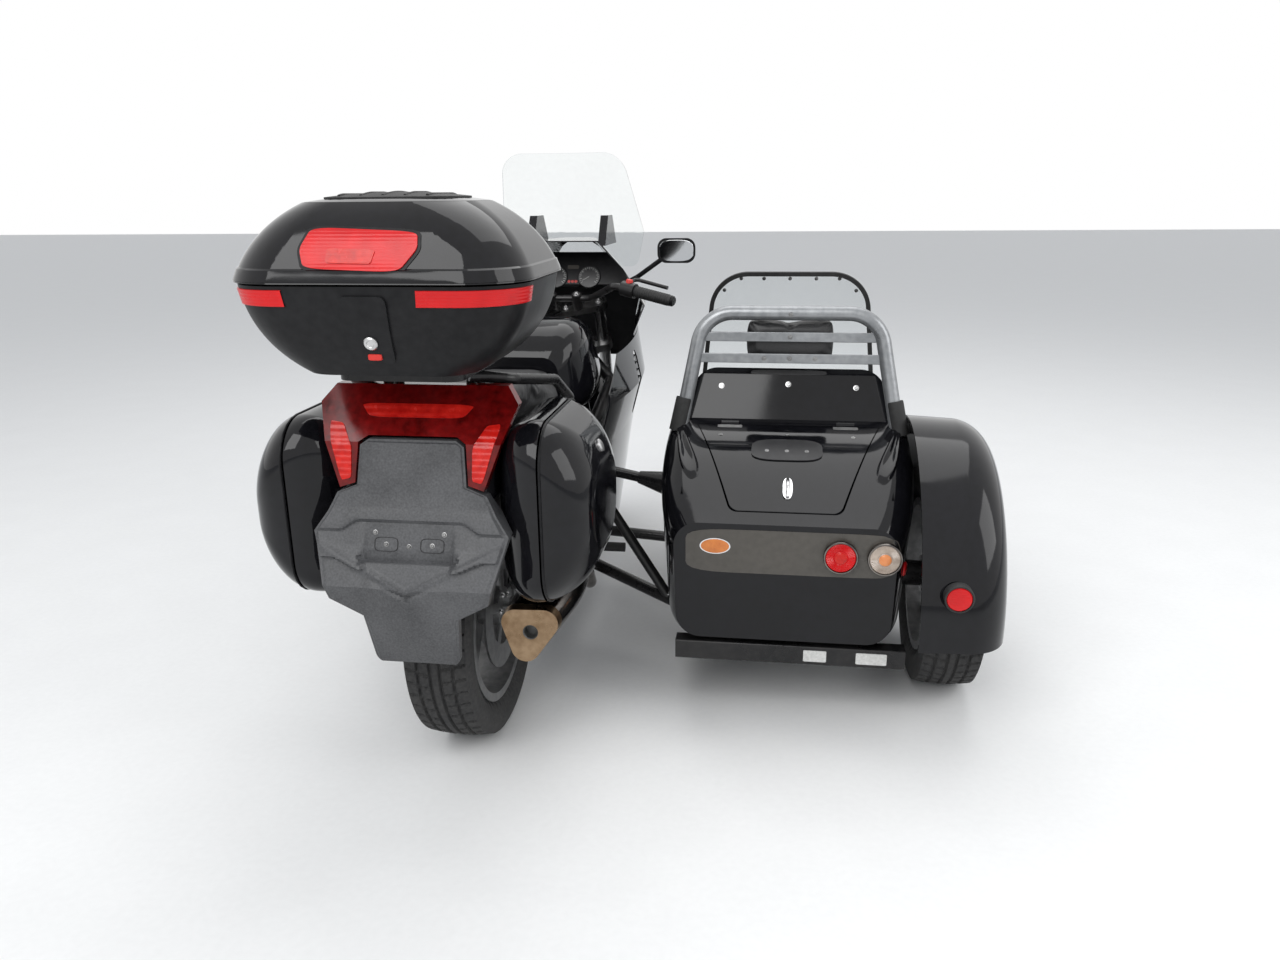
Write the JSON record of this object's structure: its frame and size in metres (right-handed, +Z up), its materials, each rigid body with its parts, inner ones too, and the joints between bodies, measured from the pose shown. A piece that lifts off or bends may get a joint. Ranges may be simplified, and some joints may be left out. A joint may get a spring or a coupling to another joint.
{
  "type": "sidecar motorcycle",
  "caption": "Touring motorcycle with a faired nose, luggage boxes and a single-seat sidecar on its right, carried by three wheels.",
  "frame": {"origin": "on the floor, under the middle of the outfit", "axes": "+X to the right towards the sidecar, +Y forward in the direction of travel, +Z up"},
  "size_m": [1.696, 2.284, 1.404],
  "materials": {
    "tyre": "moulded",
    "alloy": "satin cast",
    "fork_metal": "polished",
    "black_tube": "satin black",
    "rubber": "matte",
    "engine_metal": "cast",
    "black_gloss": "gloss black",
    "black_plastic": "worn dark grey",
    "clear": "clear",
    "red_lens": "ribbed red",
    "seat_cover": "grained black",
    "dark_chrome": "dark chrome",
    "bronze": "aged bronze",
    "silver_paint": "silver"
  },
  "bodies": {
    "chassis": {"swingarm": "alloy", "motorcycle_frame": "black_tube", "engine_block": "engine_metal", "windscreen": "clear", "upper_cowl": "black_gloss", "headlamp": "clear", "fairing_left": "black_gloss", "fairing_right": "black_gloss", "instrument_panel": "black_plastic", "tank_cover": "black_gloss", "saddle": "seat_cover", "side_covers": "black_gloss", "tail_cowl": "black_gloss", "tail_lamp": "red_lens", "rear_mudguard": "black_plastic", "top_box_base": "black_plastic", "pannier_left_base": "black_gloss", "pannier_right_base": "black_gloss", "grab_rails": "black_tube", "silencer": "dark_chrome", "silencer_cap": "bronze", "footpegs": "rubber", "mirrors": "black_plastic", "sidecar_tail": "black_gloss", "sidecar_nose": "black_gloss", "sidecar_floor": "black_gloss", "sidecar_left_side": "black_gloss", "sidecar_right_side": "black_gloss", "bulkhead": "black_gloss", "roll_bar": "silver_paint", "headrest": "seat_cover", "seat_cushion": "seat_cover", "seat_back": "seat_cover", "sidecar_screen": "clear", "screen_edge": "rubber", "sidecar_mudguard": "black_gloss", "sidecar_chassis": "black_tube", "wheel_arm": "black_tube", "mounting_struts": "black_tube", "sidecar_lamps": "red_lens"},
    "steering": {"fork": "fork_metal", "handlebar": "black_tube", "grips": "rubber", "front_mudguard": "black_gloss"},
    "front_wheel": {"front_tyre": "tyre", "front_rim": "alloy"},
    "rear_wheel": {"rear_tyre": "tyre", "rear_rim": "alloy"},
    "sidecar_wheel": {"sidecar_tyre": "tyre", "sidecar_rim": "alloy"},
    "top_box_cover": {"top_box_lid": "black_gloss"},
    "pannier_left_cover": {"pannier_left_lid": "black_gloss"},
    "pannier_right_cover": {"pannier_right_lid": "black_gloss"},
    "boot_cover": {"boot_lid": "black_gloss"}
  },
  "joints": [
    {"name": "steering_turn", "type": "hinge", "parent": "chassis", "child": "steering", "pos_m": [-0.422, 0.7977, 0.2812], "axis": [0, -0.4695, 0.8829], "range_deg": [-30, 30]},
    {"name": "front_wheel_spin", "type": "hinge", "parent": "steering", "child": "front_wheel", "pos_m": [-0.422, 0.833, 0.3], "axis": [1, 0, 0], "continuous": true},
    {"name": "rear_wheel_spin", "type": "hinge", "parent": "chassis", "child": "rear_wheel", "pos_m": [-0.422, -0.642, 0.31], "axis": [1, 0, 0], "continuous": true},
    {"name": "sidecar_wheel_spin", "type": "hinge", "parent": "chassis", "child": "sidecar_wheel", "pos_m": [0.743, -0.252, 0.29], "axis": [1, 0, 0], "continuous": true},
    {"name": "top_box_hinge", "type": "hinge", "parent": "chassis", "child": "top_box_cover", "pos_m": [-0.422, -0.714, 1.134], "axis": [-1, 0, 0], "range_deg": [0, 70]},
    {"name": "pannier_left_hinge", "type": "hinge", "parent": "chassis", "child": "pannier_left_cover", "pos_m": [-0.684, -0.816, 0.457], "axis": [0, -1, 0], "range_deg": [0, 50]},
    {"name": "pannier_right_hinge", "type": "hinge", "parent": "chassis", "child": "pannier_right_cover", "pos_m": [-0.16, -0.816, 0.457], "axis": [0, 1, 0], "range_deg": [0, 50]},
    {"name": "boot_hinge", "type": "hinge", "parent": "chassis", "child": "boot_cover", "pos_m": [0.323, -0.24, 0.692], "axis": [-1, 0, 0], "range_deg": [0, 60]}
  ]
}
